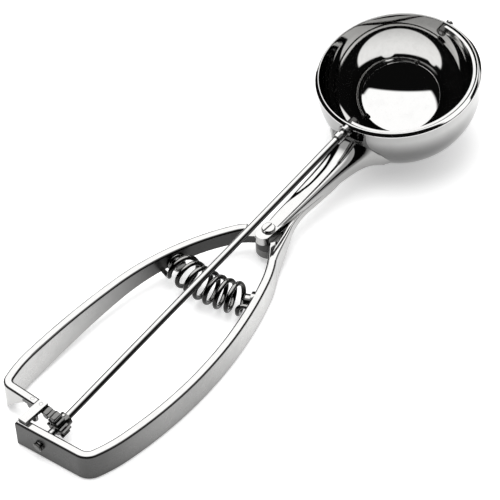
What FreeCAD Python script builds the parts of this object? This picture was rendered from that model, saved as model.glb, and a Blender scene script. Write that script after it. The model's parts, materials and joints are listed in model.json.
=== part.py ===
import FreeCAD, Part
import math
import os
import re
from types import SimpleNamespace
from FreeCAD import Placement, Rotation, Vector

# Lever ice cream scoop, in millimetres.
# +X runs from the handle to the bowl, +Y towards the squeezed lever, +Z up from the table.
# The origin is on the table under the middle of the whole scoop.

# Driving sizes
SIZES = {
    # bowl
    "bowl_bore": 50.0,
    "bowl_wall": 1.4,
    "rim_above_rod": 1.9,
    "rod_above_centre": 1.9,
    "rod_tilt": 7.9,
    # rod and its bearings, measured along the rod from the bowl's centre
    "rod_diameter": 2.4,
    "running_gap": 0.05,
    "end_head_from_bowl": 171.0,
    "end_head_diameter": 3.2,
    "end_head_length": 0.8,
    "bush_wall": 0.3,
    "bush_stand_off": 0.8,
    "bush_flange_wall": 0.6,
    "bush_flange_length": 0.7,
    "rear_bush_length": 3.1,
    "collar_diameter": 3.8,
    "collar_length": 2.0,
    "collar_from_bowl": 31.5,
    # pinion and rack
    "tooth_count": 6.0,
    "tooth_pitch": 3.1,
    "rib_diameter": 1.84,
    "tooth_gap": 0.13,
    "tip_beyond_rib": 0.72,
    "pinion_from_bowl": 161.3,
    "pinion_width": 3.2,
    "hub_diameter": 4.6,
    "hub_length": 1.8,
    "pin_diameter": 0.8,
    "rack_width": 2.8,
    "rack_ribs": 4.0,
    "rack_ribs_seen": 2.0,
    "first_rib_side": 0.4,
    "tip_clearance": 0.2,
    "rack_back": 0.7,
    "rack_lobe": 0.62,
    "rack_lobe_radius": 1.35,
    "rack_end_margin": 0.35,
    "rack_tail": 2.7,
    "thrust_washer_length": 0.5,
    "thrust_washer_wall": 0.9,
    # hinge
    "hinge_from_bowl": 65.0,
    "hinge_pin_diameter": 3.0,
    "lug_bottom": 2.5,
    "layer_height": 2.9,
    "layer_gap": 0.1,
    "eye_radius": 4.3,
    "eye_room": 0.4,
    "arm_step_radius": 7.0,
    "web_thickness": 1.9,
    "web_width": 3.8,
    "tongue_half_width": 2.45,
    "tongue_reach": 5.0,
    "tongue_root": 7.0,
    "screw_head_radius": 2.15,
    "screw_head_height": 0.8,
    "screw_head_round": 0.35,
    "screw_slot_width": 0.7,
    "screw_slot_depth": 0.4,
    "nut_across": 5.2,
    "nut_height": 1.5,
    # neck, an arm of oval rings between two named ones
    "neck_slim_back": 63.0,
    "neck_slim_width": 4.6,
    "neck_slim_depth": 2.6,
    "neck_flare_back": 15.0,
    "neck_flare_height": 14.0,
    "neck_flare_width": 18.4,
    "neck_flare_depth": 15.6,
    "neck_rings": 6.0,
    "neck_even_share": 0.45,
    "neck_flare_power": 5.0,
    "groove_back": 58.0,
    "groove_height": 14.6,
    "groove_slope": 9.7,
    "groove_radius": 2.7,
    "groove_length": 26.0,
    # handle strips
    "strip_thickness": 2.9,
    "strip_height": 10.0,
    "strip_edge": 0.8,
    "lever_top": 11.4,
    "lever_bottom": 0.4,
    "cutting_room": 30.0,
    # fixed handle, walked from its rear free end
    "fixed_start_back": 167.9,
    "fixed_start_side": 8.6,
    "fixed_heading": -85.1,
    "fixed_rear_length": 22.5,
    "fixed_corner_radius": 4.2,
    "fixed_corner_turn": 64.2,
    "fixed_rear_radius": 48.1,
    "fixed_rear_turn": 12.2,
    "fixed_side_radius": 142.4,
    "fixed_side_turn": 29.4,
    "fixed_front_radius": 43.1,
    "fixed_front_turn": 22.0,
    "fixed_nose_radius": 12.0,
    "fixed_nose_turn": 30.0,
    "fixed_nose_ahead": 2.96,
    "fixed_nose_side": -0.91,
    "fixed_rise_radius": 14.5,
    "fixed_rise_ahead": 9.8,
    "fixed_rise_below": 5.0,
    # lever, walked from its rear tongue
    "lever_start_back": 160.35,
    "lever_start_side": 7.7,
    "lever_rear_length": 10.7,
    "lever_corner_radius": 2.6,
    "lever_corner_turn": 73.2,
    "lever_rear_radius": 45.0,
    "lever_rear_turn": 13.8,
    "lever_side_radius": 267.4,
    "lever_side_turn": 8.2,
    "lever_front_radius": 85.3,
    "lever_front_turn": 27.8,
    "lever_nose_radius": 12.0,
    "lever_nose_turn": 22.0,
    "lever_nose_length": 4.5,
    "lever_nose_ahead": -0.02,
    "lever_nose_side": 1.74,
    # arched lower edge of the lever and the curve that rises to its rear tongue
    "arch_rear_back": 153.0,
    "arch_middle_back": 130.0,
    "arch_middle_rise": 2.0,
    "arch_crest_back": 101.0,
    "arch_crest_rise": 5.0,
    "arch_front_back": 60.0,
    "arch_front_rise": 3.8,
    "rear_rise_start_side": 20.9,
    "rear_rise_middle_side": 16.4,
    "rear_rise_middle_height": 5.6,
    "rear_rise_top_side": 12.4,
    "rear_rise_top_height": 9.0,
    "rear_rise_ahead": 3.55,
    "tongue_under": 10.3,
    # slide block over the rear strip
    "block_length": 9.5,
    "block_side": 4.8,
    "block_clearance": 0.15,
    "block_top": 11.5,
    "stud_diameter": 2.0,
    "stud_drop": 2.8,
    "stud_behind_rack": 2.3,
    "rivet_diameter": 1.2,
    "rivet_length": 2.0,
    # spring
    "spring_outside": 11.0,
    "spring_wire": 1.5,
    "spring_turns": 7.0,
    "spring_lead": 1.9,
    "spring_lead_in": 2.4,
    "spring_end_wind": 25.8,
    "spring_bow_radius": 40.0,
    "spring_height": 6.8,
    "spring_lever_share": 0.50,
    "spring_fixed_share": 0.91,
    "seat_diameter": 6.4,
    "seat_thickness": 0.6,
    "seat_sink": 1.0,
    "nipple_diameter": 4.4,
    "nipple_length": 2.4,
    "nipple_round": 0.8,
    # scraper
    "scraper_gap": 0.35,
    "scraper_thickness": 0.9,
    "scraper_middle_width": 5.2,
    "scraper_end_width": 3.0,
    "scraper_below_level": 2.6,
    "boss_diameter": 3.2,
    "boss_length": 2.6,
    "far_pin_diameter": 1.6,
    "far_head_diameter": 2.6,
    "far_head_length": 0.9,
}
d = SimpleNamespace(**SIZES)

doc = FreeCAD.newDocument("lever_scoop")
sheet = doc.addObject("Spreadsheet::Sheet", "Sizes")
for row, (alias, number) in enumerate(SIZES.items(), start=1):
    sheet.set("A%d" % row, alias)
    sheet.set("B%d" % row, str(number))
    sheet.setAlias("B%d" % row, alias)
doc.recompute()

# Derived sizes
tilt = math.radians(d.rod_tilt)
inner_radius = d.bowl_bore / 2
outer_radius = inner_radius + d.bowl_wall
rim_height = d.rod_above_centre + d.rim_above_rod
rod_radius = d.rod_diameter / 2
pitch_radius = d.tooth_count * d.tooth_pitch / (2 * math.pi)
rib_radius = d.rib_diameter / 2
trough_radius = rib_radius + d.tooth_gap
tip_radius = pitch_radius + d.tip_beyond_rib
lug_top = d.lug_bottom + d.layer_height
eye_bottom = lug_top + d.layer_gap
eye_top = eye_bottom + d.layer_height
tongue_bottom = eye_top + d.layer_gap
tongue_top = tongue_bottom + d.layer_height
far_end = outer_radius + d.far_head_length
sink = d.rod_above_centre
bush_end_gap = 2 * d.running_gap
pin_along = -d.pinion_from_bowl + (d.pinion_width + d.hub_length) / 2


def table_x(along, above):
    """Distance in front of the bowl's centre of a point of the tilted frame."""
    return along * math.cos(tilt) - above * math.sin(tilt)


def table_z(along, above):
    """Height over the table of a point of the tilted frame."""
    return outer_radius + along * math.sin(tilt) + above * math.cos(tilt)


front_reach = table_x(far_end, sink - d.far_head_diameter / 2)
rear_reach = table_x(-d.end_head_from_bowl, sink + d.end_head_diameter / 2)
middle = (front_reach + rear_reach) / 2
FLAT = Placement(Vector(-middle, 0, 0), Rotation())
TILTED = Placement(Vector(-middle, 0, outer_radius), Rotation(Vector(0, 1, 0), -d.rod_tilt))
ALONG_X = Rotation(Vector(0, 0, 1), Vector(1, 0, 0))
ALONG_Y = Rotation(Vector(0, 0, 1), Vector(0, 1, 0))
UPRIGHT = Rotation()


def bind(item, **links):
    """Ties properties of an object to cells of the sheet."""
    for name, text in links.items():
        item.setExpression(name, re.sub(r"([a-z_]{4,})", r"Sizes.\1", text))
    return item


def place(item, frame, at, turn=UPRIGHT):
    """Sets an object down at a point of a frame."""
    item.Placement = frame.multiply(Placement(Vector(*at), turn))
    return item


def cylinder(name, frame, at, turn, radius, height):
    """Cylinder from a point along the turned Z, with its sizes given as sheet formulas."""
    item = bind(doc.addObject("Part::Cylinder", name), Radius=radius, Height=height)
    return place(item, frame, at, turn)


def ball(name, frame, at, radius):
    """Ball with its radius given as a sheet formula."""
    return place(bind(doc.addObject("Part::Sphere", name), Radius=radius), frame, at)


def box(name, frame, low, high, turn=UPRIGHT):
    """Box between two corners of a frame."""
    item = doc.addObject("Part::Box", name)
    item.Length = high[0] - low[0]
    item.Width = high[1] - low[1]
    item.Height = high[2] - low[2]
    return place(item, frame, low, turn)


def fuse(name, items):
    """Union of several objects."""
    union = doc.addObject("Part::MultiFuse", name)
    union.Shapes = items
    union.Refine = True
    return union


def cut(name, base, tools):
    """Base with one or more tools taken out of it."""
    tool = tools[0] if len(tools) == 1 else fuse(name + "_tools", tools)
    rest = doc.addObject("Part::Cut", name)
    rest.Base = base
    rest.Tool = tool
    return rest


def solid(name, shape, frame=FLAT):
    """Feature whose shape is made from the sheet's sizes by Part's own functions."""
    item = doc.addObject("Part::Feature", name)
    item.Shape = shape
    item.Placement = frame.multiply(shape.Placement)
    return item


def body(name, frame=FLAT):
    """Empty PartDesign body in a frame."""
    item = doc.addObject("PartDesign::Body", name)
    item.Placement = frame
    return item


def sketch(owner, name, role, edges, lift=0.0):
    """Sketch of ready edges on one of the body's own origin planes."""
    drawing = owner.newObject("Sketcher::SketchObject", name)
    plane = [p for p in owner.Origin.OriginFeatures if p.Role == role][0]
    drawing.AttachmentSupport = [(plane, "")]
    drawing.MapMode = "FlatFace"
    drawing.AttachmentOffset = Placement(Vector(0, 0, lift), Rotation())
    for edge in edges:
        drawing.addGeometry(edge, False)
    return drawing


def point(x, y):
    """Point of a sketch plane."""
    return Vector(x, y, 0)


def arc(centre, radius, start, end):
    """Counter-clockwise arc between two angles in degrees."""
    circle = Part.Circle(centre, Vector(0, 0, 1), radius)
    return Part.ArcOfCircle(circle, math.radians(start), math.radians(end))


def walk(start, heading, runs):
    """Joints of a path of lines and tangent arcs: place, heading, and the run that follows."""
    x, y = start
    angle = math.radians(heading)
    legs = []
    for radius, amount in runs:
        legs.append((x, y, angle, radius, amount))
        if radius == 0:
            x += amount * math.cos(angle)
            y += amount * math.sin(angle)
            continue
        turn = math.radians(amount)
        side = math.copysign(radius, turn)
        centre = (x - side * math.sin(angle), y + side * math.cos(angle))
        angle += turn
        x = centre[0] + side * math.sin(angle)
        y = centre[1] - side * math.cos(angle)
    legs.append((x, y, angle, 0, 0))
    return legs


def fitted(start, heading, runs, end):
    """Path of runs, scaled and turned about its start until it ends at a given point."""
    last = walk(start, heading, runs)[-1]
    had = point(last[0] - start[0], last[1] - start[1])
    wanted = point(end[0] - start[0], end[1] - start[1])
    scale = wanted.Length / had.Length
    swing = math.degrees(math.atan2(wanted.y, wanted.x) - math.atan2(had.y, had.x))
    scaled = [(radius * scale, amount if radius else amount * scale) for radius, amount in runs]
    return walk(start, heading + swing, scaled)


def offset_point(leg, offset):
    """Point beside a joint of a path, to the left for a positive offset."""
    x, y, angle = leg[:3]
    return point(x - offset * math.sin(angle), y + offset * math.cos(angle))


def side_edges(legs, offset):
    """Lines and arcs of a path moved sideways."""
    edges = []
    for leg, following in zip(legs, legs[1:]):
        x, y, angle, radius, amount = leg
        if radius == 0:
            edges.append(Part.LineSegment(offset_point(leg, offset), offset_point(following, offset)))
            continue
        half = angle + math.radians(amount) / 2
        side = math.copysign(radius, amount)
        centre = point(x - side * math.sin(angle), y + side * math.cos(angle))
        reach = side - offset
        midway = point(centre.x + reach * math.sin(half), centre.y - reach * math.cos(half))
        edges.append(Part.Arc(offset_point(leg, offset), midway, offset_point(following, offset)))
    return edges


def on_run(leg, share, offset):
    """Point beside a run of a path, at a share of its length."""
    x, y, angle, radius, amount = leg
    return offset_point(walk((x, y), math.degrees(angle), [(radius, amount * share)])[1], offset)


# Paths of the two strips, walked from the rear to the hinge
fixed_legs = fitted((-d.fixed_start_back, d.fixed_start_side), d.fixed_heading,
                    [(0, d.fixed_rear_length), (d.fixed_corner_radius, d.fixed_corner_turn),
                     (d.fixed_rear_radius, d.fixed_rear_turn), (d.fixed_side_radius, d.fixed_side_turn),
                     (d.fixed_front_radius, d.fixed_front_turn), (d.fixed_nose_radius, -d.fixed_nose_turn)],
                    (d.fixed_nose_ahead - d.hinge_from_bowl, d.fixed_nose_side))
lever_legs = fitted((-d.lever_start_back, d.lever_start_side), 90,
                    [(0, d.lever_rear_length), (d.lever_corner_radius, -d.lever_corner_turn),
                     (d.lever_rear_radius, -d.lever_rear_turn), (d.lever_side_radius, -d.lever_side_turn),
                     (d.lever_front_radius, -d.lever_front_turn), (d.lever_nose_radius, -d.lever_nose_turn),
                     (0, d.lever_nose_length)],
                    (d.lever_nose_ahead - d.hinge_from_bowl, d.lever_nose_side))

# Spring axis: an arc bowed away from the bowl, from face to face of the strips' front runs
coil_radius = (d.spring_outside - d.spring_wire) / 2
seat_lever = on_run(lever_legs[4], d.spring_lever_share, -d.strip_thickness / 2)
seat_fixed = on_run(fixed_legs[3], d.spring_fixed_share, d.strip_thickness / 2)
span = seat_fixed - seat_lever
sag = math.sqrt(d.spring_bow_radius ** 2 - span.Length ** 2 / 4)
bow_centre = (seat_lever + seat_fixed) * 0.5 + Vector(-span.y, span.x, 0) * (sag / span.Length)
bow_start = math.atan2(seat_lever.y - bow_centre.y, seat_lever.x - bow_centre.x)
bow_end = math.atan2(seat_fixed.y - bow_centre.y, seat_fixed.x - bow_centre.x) % (2 * math.pi)

nodes = []


def node(name, item):
    """Registers a finished piece under its own name."""
    item.Label = name
    nodes.append(item)
    return item


# Bowl
def make_bowl():
    """Deep round bowl with a straight band over its half ball and a rounded rim."""
    shell = body("bowl_body", TILTED)
    lip = d.bowl_wall / 2
    straight = rim_height - lip
    edges = [
        arc(point(0, 0), outer_radius, -90, 0),
        Part.LineSegment(point(outer_radius, 0), point(outer_radius, straight)),
        arc(point(inner_radius + lip, straight), lip, 0, 180),
        Part.LineSegment(point(inner_radius, straight), point(inner_radius, 0)),
        arc(point(0, 0), inner_radius, -90, 0),
        Part.LineSegment(point(0, -inner_radius), point(0, -outer_radius)),
    ]
    profile = sketch(shell, "bowl_profile", "XZ_Plane", edges)
    turned = shell.newObject("PartDesign::Revolution", "bowl_turned")
    turned.Profile = profile
    turned.ReferenceAxis = (profile, ["V_Axis"])
    turned.Angle = 360
    near_hole = cylinder("bowl_near_hole", TILTED, (-outer_radius - d.bowl_wall, 0, sink), ALONG_X,
                         "rod_diameter / 2 + running_gap + bush_wall", "3 * bowl_wall")
    far_hole = cylinder("bowl_far_hole", TILTED, (inner_radius - d.bowl_wall, 0, sink), ALONG_X,
                        "far_pin_diameter / 2", "3 * bowl_wall")
    return node("bowl", cut("bowl_piece", shell, [near_hole, far_hole]))


def tube(name, frame, at, outer, inner, length):
    """Ring or tube along the frame's X, with sizes given as sheet formulas."""
    skin = cylinder(name + "_skin", frame, at, ALONG_X, outer, length)
    hole = cylinder(name + "_hole", frame, at, ALONG_X, inner, length)
    return cut(name, skin, [hole])


# Rod and what turns with it
def make_rod():
    """Straight wire rod from behind the rear strip to inside the bowl."""
    start = -d.end_head_from_bowl
    rod = cylinder("rod_bar", TILTED, (start, 0, sink), ALONG_X, "rod_diameter / 2",
                   "end_head_from_bowl - bowl_bore / 2 + scraper_gap + boss_length")
    pin_hole = cylinder("rod_pin_hole", TILTED, (pin_along, 0, sink - d.rod_diameter), UPRIGHT,
                        "pin_diameter / 2", "2 * rod_diameter")
    return node("rod", cut("rod_piece", rod, [pin_hole]))


def flank_point(roll, offset):
    """Point of a tooth flank in the pinion's plane, with the rib's middle rolled by an angle."""
    travel = roll * pitch_radius
    across = travel - offset
    reach = math.hypot(across, pitch_radius)
    turn = math.atan2(across, pitch_radius) - roll
    return Vector(0, reach * math.sin(turn), reach * math.cos(turn))


def make_pinion():
    """Pinion whose half round troughs and involute flanks roll on the rack's round ribs."""
    count = int(d.tooth_count)
    width = d.pinion_width
    start = -d.pinion_from_bowl - width / 2
    blank = Part.makeCylinder(tip_radius, width, Vector(start, 0, 0), Vector(1, 0, 0))
    full_roll = math.radians(360 / count)
    left = [flank_point(full_roll * share, trough_radius) for share in (0.5, 0.75, 1.0)]
    right = [Vector(p.x, -p.y, p.z) for p in left]
    bottom = Vector(0, 0, pitch_radius - trough_radius)
    roof = [left[2] * 1.4, right[2] * 1.4]
    edges = [
        Part.Arc(left[0], bottom, right[0]).toShape(),
        Part.Arc(right[0], right[1], right[2]).toShape(),
        Part.LineSegment(right[2], roof[1]).toShape(),
        Part.LineSegment(roof[1], roof[0]).toShape(),
        Part.LineSegment(roof[0], left[2]).toShape(),
        Part.Arc(left[2], left[1], left[0]).toShape(),
    ]
    gap = Part.Face(Part.Wire(edges)).extrude(Vector(width, 0, 0))
    gap.translate(Vector(start, 0, 0))
    first = math.degrees(d.first_rib_side / pitch_radius)
    for index in range(count):
        tooth_gap = gap.copy()
        tooth_gap.rotate(Vector(0, 0, 0), Vector(1, 0, 0), index * 360 / count - first)
        blank = blank.cut(tooth_gap)
    hub_start = Vector(start + width, 0, 0)
    blank = blank.fuse(Part.makeCylinder(d.hub_diameter / 2, d.hub_length, hub_start, Vector(1, 0, 0)))
    bore_start = Vector(start - d.hub_length, 0, 0)
    blank = blank.cut(Part.makeCylinder(rod_radius, width + 3 * d.hub_length, bore_start, Vector(1, 0, 0)))
    blank = blank.cut(Part.makeCylinder(d.pin_diameter / 2, 2 * d.hub_diameter,
                                        Vector(pin_along, 0, -d.hub_diameter)))
    blank.translate(Vector(0, 0, sink))
    return node("pinion", solid("pinion_piece", blank, TILTED))


def make_pinion_pin():
    """Cross pin through the pinion's hub and the rod."""
    pin = cylinder("pinion_pin_piece", TILTED, (pin_along, 0, sink - d.hub_diameter / 2), UPRIGHT,
                   "pin_diameter / 2", "hub_diameter")
    return node("pinion_pin", pin)


def make_rod_rings():
    """Washer beside the pinion, head behind the rear strip and collar near the bowl."""
    washer_end = -d.pinion_from_bowl - d.pinion_width / 2
    node("thrust_washer", tube("thrust_washer_piece", TILTED, (washer_end - d.thrust_washer_length, 0, sink),
                               "rod_diameter / 2 + thrust_washer_wall", "rod_diameter / 2",
                               "thrust_washer_length"))
    node("rod_end_head", tube("rod_end_head_piece", TILTED, (-d.end_head_from_bowl, 0, sink),
                              "end_head_diameter / 2", "rod_diameter / 2", "end_head_length"))
    node("front_collar", tube("front_collar_piece", TILTED, (-d.collar_from_bowl, 0, sink),
                              "collar_diameter / 2", "rod_diameter / 2", "collar_length"))


# Bearings of the rod
def make_bushes():
    """Flanged bushes in the rear strip and in the bowl's near wall."""
    rear_end = -d.end_head_from_bowl + d.end_head_length + bush_end_gap
    sleeve = cylinder("rear_bush_sleeve", TILTED, (rear_end, 0, sink), ALONG_X,
                      "rod_diameter / 2 + running_gap + bush_wall", "rear_bush_length")
    flange = cylinder("rear_bush_flange", TILTED, (rear_end + d.rear_bush_length, 0, sink), ALONG_X,
                      "rod_diameter / 2 + running_gap + bush_wall + bush_flange_wall",
                      "bush_flange_length")
    whole = fuse("rear_bush_whole", [sleeve, flange])
    bore = cylinder("rear_bush_bore", TILTED, (rear_end - d.bush_flange_length, 0, sink), ALONG_X,
                    "rod_diameter / 2 + running_gap", "rear_bush_length + 3 * bush_flange_length")
    node("rear_bush", cut("rear_bush_piece", whole, [bore]))
    wall_out = -outer_radius - d.bush_stand_off
    sleeve = cylinder("front_bush_sleeve", TILTED, (wall_out, 0, sink), ALONG_X,
                      "rod_diameter / 2 + running_gap + bush_wall", "bowl_wall + bush_stand_off")
    flange = cylinder("front_bush_flange", TILTED, (wall_out - d.bush_flange_length, 0, sink), ALONG_X,
                      "rod_diameter / 2 + running_gap + bush_wall + bush_flange_wall",
                      "bush_flange_length")
    whole = fuse("front_bush_whole", [sleeve, flange])
    bore = cylinder("front_bush_bore", TILTED, (wall_out - 2 * d.bush_flange_length, 0, sink), ALONG_X,
                    "rod_diameter / 2 + running_gap", "bowl_wall + bush_stand_off + 4 * bush_flange_length")
    node("front_bush", cut("front_bush_piece", whole, [bore]))


# Scraper
def make_scraper():
    """Curved strip from the near wall round to the far wall, just inside the bowl."""
    outer = inner_radius - d.scraper_gap
    inner = outer - d.scraper_thickness
    middle_half = d.scraper_middle_width / 2
    end_half = d.scraper_end_width / 2
    upper = Part.Arc(Vector(-outer, 0, end_half), Vector(0, 0, middle_half), Vector(outer, 0, end_half))
    lower = Part.Arc(Vector(outer, 0, -end_half), Vector(0, 0, -middle_half), Vector(-outer, 0, -end_half))
    sides = [Part.LineSegment(Vector(outer, 0, end_half), Vector(outer, 0, -end_half)),
             Part.LineSegment(Vector(-outer, 0, -end_half), Vector(-outer, 0, end_half))]
    wire = Part.Wire([upper.toShape(), sides[0].toShape(), lower.toShape(), sides[1].toShape()])
    prism = Part.Face(wire).extrude(Vector(0, -outer, 0))
    shell = Part.makeSphere(outer).cut(Part.makeSphere(inner))
    strip = shell.common(prism)
    boss = Part.makeCylinder(d.boss_diameter / 2, 2 * outer, Vector(-outer, 0, 0), Vector(1, 0, 0))
    strip = strip.cut(boss)
    strip.rotate(Vector(0, 0, 0), Vector(1, 0, 0), d.scraper_below_level)
    strip.translate(Vector(0, 0, sink))
    node("scraper", solid("scraper_piece", strip, TILTED))
    outer_face = inner_radius - d.scraper_gap
    node("scraper_hub", tube("scraper_hub_piece", TILTED, (-outer_face, 0, sink),
                             "boss_diameter / 2", "rod_diameter / 2", "boss_length"))
    node("scraper_far_boss", tube("scraper_far_boss_piece", TILTED, (outer_face - d.boss_length, 0, sink),
                                  "boss_diameter / 2", "far_pin_diameter / 2 + running_gap",
                                  "boss_length"))


def make_far_pivot():
    """Riveted pin through the far wall, on which the scraper's far boss turns."""
    shank = cylinder("far_pin_shank", TILTED, (inner_radius - d.scraper_gap - d.boss_length, 0, sink),
                     ALONG_X, "far_pin_diameter / 2", "scraper_gap + boss_length + bowl_wall")
    head = cylinder("far_pin_head", TILTED, (outer_radius, 0, sink), ALONG_X,
                    "far_head_diameter / 2", "far_head_length")
    return node("far_pivot_pin", fuse("far_pin_piece", [shank, head]))


# Neck
def make_neck():
    """Forged arm with a hinge tongue, swelling from slim at the hinge to a flare on the bowl."""
    tongue_middle = (tongue_bottom + tongue_top) / 2
    turn = Rotation(Vector(0, 1, 0), Vector(0, 0, 1), Vector(1, 0, 0), "XYZ")
    count = int(d.neck_rings)
    rings = []
    for index in range(count):
        share = index / (count - 1)
        swell = d.neck_even_share * share + (1 - d.neck_even_share) * share ** d.neck_flare_power
        ring = bind(doc.addObject("Part::Ellipse", "neck_ring_%d" % index),
                    MajorRadius="(neck_slim_width + (neck_flare_width - neck_slim_width) * %.4f) / 2" % swell,
                    MinorRadius="(neck_slim_depth + (neck_flare_depth - neck_slim_depth) * %.4f) / 2" % swell)
        back = d.neck_slim_back + (d.neck_flare_back - d.neck_slim_back) * share
        height = tongue_middle + (d.neck_flare_height - tongue_middle) * share
        rings.append(place(ring, FLAT, (-back, 0, height), turn))
    loft = doc.addObject("Part::Loft", "neck_loft")
    loft.Sections = rings
    loft.Solid = True
    hinge = -d.hinge_from_bowl
    end_round = hinge - d.tongue_reach + d.tongue_half_width
    plate = box("neck_tongue", FLAT, (end_round, -d.tongue_half_width, tongue_bottom),
                (hinge + d.tongue_root, d.tongue_half_width, tongue_top))
    nose = cylinder("neck_tongue_end", FLAT, (end_round, 0, tongue_bottom), UPRIGHT,
                    "tongue_half_width", "layer_height")
    whole = fuse("neck_whole", [loft, plate, nose])
    pivot = cylinder("neck_pivot_hole", FLAT, (hinge, 0, 0), UPRIGHT, "hinge_pin_diameter / 2",
                     "cutting_room")
    ball_cut = ball("neck_bowl_cut", TILTED, (0, 0, 0), "bowl_bore / 2 + bowl_wall")
    rise = math.radians(d.groove_slope)
    groove_way = Rotation(Vector(0, 0, 1), Vector(math.cos(rise), 0, math.sin(rise)))
    groove = cylinder("neck_groove", FLAT, (-d.groove_back, 0, d.groove_height), groove_way,
                      "groove_radius", "groove_length")
    groove_end = ball("neck_groove_end", FLAT, (d.groove_length * math.cos(rise) - d.groove_back, 0,
                                                d.groove_length * math.sin(rise) + d.groove_height),
                      "groove_radius")
    groove_tool = fuse("neck_groove_tool", [groove, groove_end])
    return node("neck", cut("neck_piece", whole, [pivot, ball_cut, groove_tool]))


# Handle strips
def strip(name, legs, bottom, height):
    """Upright strip of even thickness along a path, its height a sheet formula, with rounded edges."""
    owner = body(name + "_body")
    half = d.strip_thickness / 2
    edges = side_edges(legs, half) + side_edges(legs, -half)
    for leg in (legs[0], legs[-1]):
        edges.append(Part.LineSegment(offset_point(leg, half), offset_point(leg, -half)))
    plan = sketch(owner, name + "_plan", "XY_Plane", edges, bottom)
    pad = owner.newObject("PartDesign::Pad", name + "_pad")
    pad.Profile = plan
    bind(pad, Length=height)
    doc.recompute()
    flat_edges = []
    for index, edge in enumerate(pad.Shape.Edges, start=1):
        heights = [v.Z for v in edge.Vertexes]
        if max(heights) - min(heights) < 0.01:
            flat_edges.append("Edge%d" % index)
    rounded = owner.newObject("PartDesign::Fillet", name + "_edges")
    rounded.Base = (pad, flat_edges)
    bind(rounded, Radius="strip_edge")
    return owner


def make_fixed_handle(neck):
    """Lower strip from the hinge lug round the rear to its free end."""
    band = strip("fixed_strip", fixed_legs, 0, "strip_height")
    hinge = -d.hinge_from_bowl
    rise = cylinder("fixed_rise", FLAT, (hinge + d.fixed_rise_ahead, -d.cutting_room, -d.fixed_rise_below),
                    ALONG_Y, "fixed_rise_radius", "2 * cutting_room")
    eye_room = cylinder("fixed_eye_room", FLAT, (hinge, 0, lug_top), UPRIGHT,
                        "eye_radius + eye_room", "strip_height")
    lug = cylinder("fixed_lug", FLAT, (hinge, 0, d.lug_bottom), UPRIGHT, "eye_radius", "layer_height")
    opened = cut("fixed_strip_cut", band, [rise, eye_room])
    web_start = hinge + d.eye_radius + d.eye_room
    web_end = web_start + d.web_thickness
    web_side = d.web_width / 2
    web = box("fixed_web", FLAT, (web_start, -web_side, d.lug_bottom), (web_end, web_side, tongue_top))
    lug_front = box("fixed_lug_front", FLAT, (hinge, -web_side, d.lug_bottom), (web_end, web_side, lug_top))
    whole = fuse("fixed_whole", [opened, lug, web, lug_front])
    pivot = cylinder("fixed_pivot_hole", FLAT, (hinge, 0, 0), UPRIGHT, "hinge_pin_diameter / 2",
                     "cutting_room")
    bush_hole = cylinder("fixed_bush_hole", TILTED, (-d.end_head_from_bowl - d.strip_thickness, 0, sink),
                         ALONG_X, "rod_diameter / 2 + running_gap + bush_wall", "4 * strip_thickness")
    flange_at = -d.end_head_from_bowl + d.end_head_length + bush_end_gap + d.rear_bush_length
    spot_face = cylinder("fixed_spot_face", TILTED, (flange_at, 0, sink), ALONG_X,
                         "rod_diameter / 2 + running_gap + bush_wall + bush_flange_wall",
                         "bush_flange_length + strip_thickness")
    return node("fixed_handle", cut("fixed_handle_piece", whole, [neck, pivot, bush_hole, spot_face]))


def make_lever(rack, rivets):
    """Upper strip with the hinge eye in front and the rack's tongue at the rear."""
    band = strip("lever_strip", lever_legs, d.lever_bottom, "lever_top - lever_bottom")
    hinge = -d.hinge_from_bowl
    side = -d.cutting_room
    arch = [Vector(-back, side, d.lever_bottom + rise) for back, rise in (
        (d.arch_rear_back, 0.0), (d.arch_middle_back, d.arch_middle_rise),
        (d.arch_crest_back, d.arch_crest_rise), (d.arch_front_back, d.arch_front_rise))]
    edge = Part.BSplineCurve()
    edge.interpolate(arch)
    below_front = Vector(arch[-1].x, side, -d.cutting_room)
    below_rear = Vector(arch[0].x, side, -d.cutting_room)
    corners = [arch[-1], below_front, below_rear, arch[0]]
    lines = [Part.LineSegment(a, b).toShape() for a, b in zip(corners, corners[1:])]
    arch_face = Part.Face(Part.Wire([edge.toShape()] + lines))
    under = solid("lever_under", arch_face.extrude(Vector(0, 2 * d.cutting_room, 0)))
    rear = -d.lever_start_back - d.block_length
    foot = Vector(rear, d.rear_rise_start_side, 0)
    top = Vector(rear, d.rear_rise_top_side, d.rear_rise_top_height)
    rise = Part.Arc(foot, Vector(rear, d.rear_rise_middle_side, d.rear_rise_middle_height), top)
    rise_corners = [top, Vector(rear, d.rear_rise_top_side, d.tongue_under), Vector(rear, 0, d.tongue_under),
                    Vector(rear, 0, 0), foot]
    rise_lines = [Part.LineSegment(a, b).toShape() for a, b in zip(rise_corners, rise_corners[1:])]
    rear_face = Part.Face(Part.Wire([rise.toShape()] + rise_lines))
    rear_under = solid("lever_rear_under", rear_face.extrude(Vector(d.block_length + d.rear_rise_ahead, 0, 0)))
    above = cylinder("lever_step_above", FLAT, (hinge, 0, eye_top), UPRIGHT, "arm_step_radius",
                     "cutting_room")
    below = cylinder("lever_step_below", FLAT, (hinge, 0, eye_bottom - d.cutting_room), UPRIGHT,
                     "arm_step_radius", "cutting_room")
    opened = cut("lever_strip_cut", band, [under, rear_under, above, below])
    eye = cylinder("lever_eye", FLAT, (hinge, 0, eye_bottom), UPRIGHT, "eye_radius", "layer_height")
    whole = fuse("lever_whole", [opened, eye])
    pivot = cylinder("lever_pivot_hole", FLAT, (hinge, 0, 0), UPRIGHT,
                     "hinge_pin_diameter / 2 + running_gap", "cutting_room")
    return node("lever_handle", cut("lever_handle_piece", whole, [pivot, rack] + rivets))


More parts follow.
